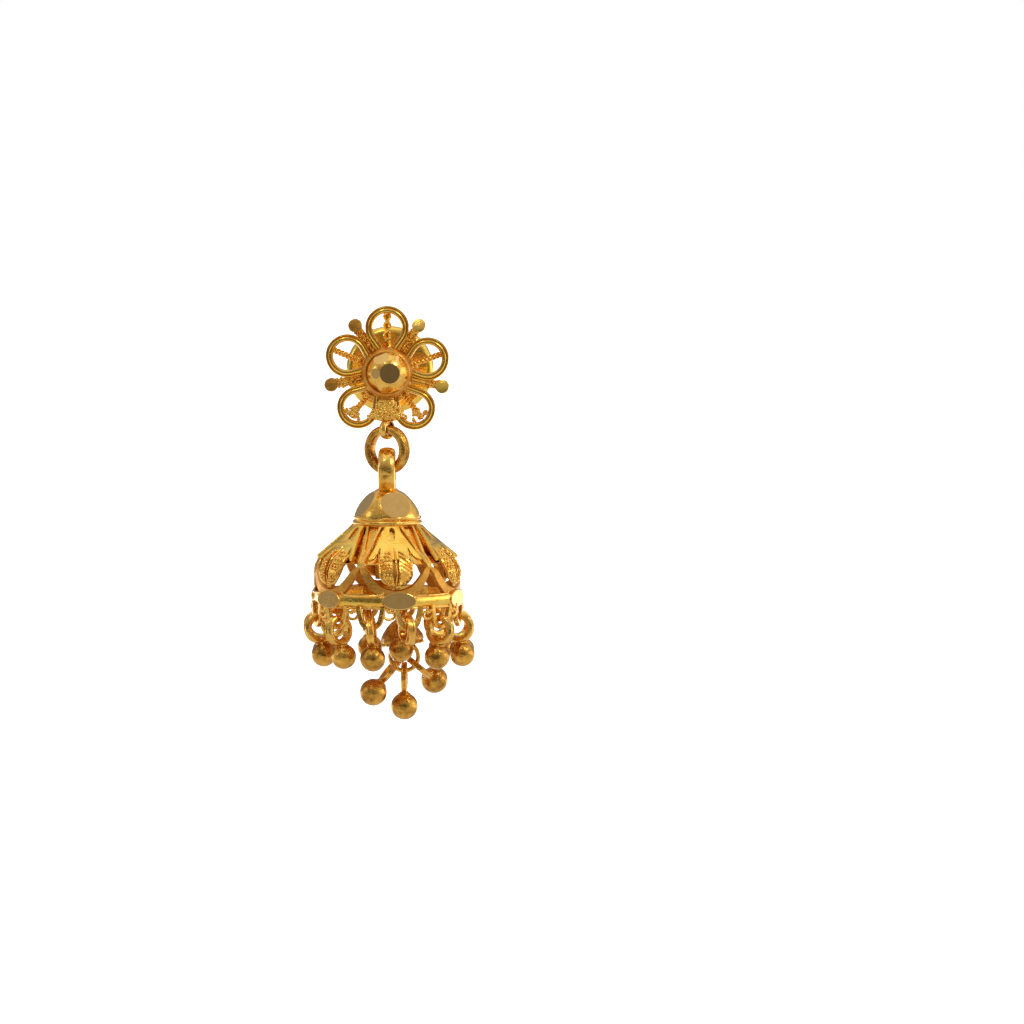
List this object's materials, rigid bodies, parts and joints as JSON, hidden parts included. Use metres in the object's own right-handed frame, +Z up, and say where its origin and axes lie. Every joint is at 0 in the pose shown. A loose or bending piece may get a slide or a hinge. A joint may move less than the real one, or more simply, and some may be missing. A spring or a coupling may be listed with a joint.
{
  "type": "jhumka earring",
  "caption": "Gold jhumka drop earring: openwork flower stud, linking ring and bell-shaped drop fringed with small beads on rings.",
  "frame": {"origin": "on the post's axis in the middle of the ear lobe", "axes": "+Z up, the drop hangs towards -Z, the flower faces -Y, the post runs back along +Y"},
  "size_m": [0.0118, 0.016, 0.028],
  "materials": {
    "polished_gold": "high polish with flat diamond-cut facets",
    "grained_gold": "beaded and engraved, sparkling",
    "bead_gold": "polished beads, slightly mottled",
    "facet_gold": "flat diamond-cut mirror facets"
  },
  "bodies": {
    "stud": {"flower_stud": "polished_gold"},
    "screw_back": {"screw_back": "polished_gold"},
    "link": {"jump_ring": "polished_gold"},
    "drop": {"bell": "polished_gold", "rim_dangle_01": "bead_gold", "rim_dangle_02": "bead_gold", "rim_dangle_03": "bead_gold", "rim_dangle_04": "bead_gold", "rim_dangle_05": "bead_gold", "rim_dangle_06": "bead_gold", "rim_dangle_07": "bead_gold", "rim_dangle_08": "bead_gold", "rim_dangle_09": "bead_gold", "rim_dangle_10": "bead_gold", "rim_dangle_11": "bead_gold", "rim_dangle_12": "bead_gold", "centre_drop_left": "bead_gold", "centre_drop_middle": "bead_gold", "centre_drop_right": "bead_gold"}
  },
  "joints": [
    {"name": "screw_back_travel", "type": "slide", "parent": "stud", "child": "screw_back", "axis": [0, 1, 0], "range_m": [-0.0018, 0.0018]},
    {"name": "ring_swing", "type": "hinge", "parent": "stud", "child": "link", "pos_m": [0, -0.00295, -0.00382], "axis": [0.866, -0.5, 0], "range_deg": [-25, 25]},
    {"name": "drop_swing", "type": "hinge", "parent": "link", "child": "drop", "pos_m": [0, -0.00295, -0.0052], "axis": [0.5, 0.866, 0], "range_deg": [-35, 35]}
  ]
}
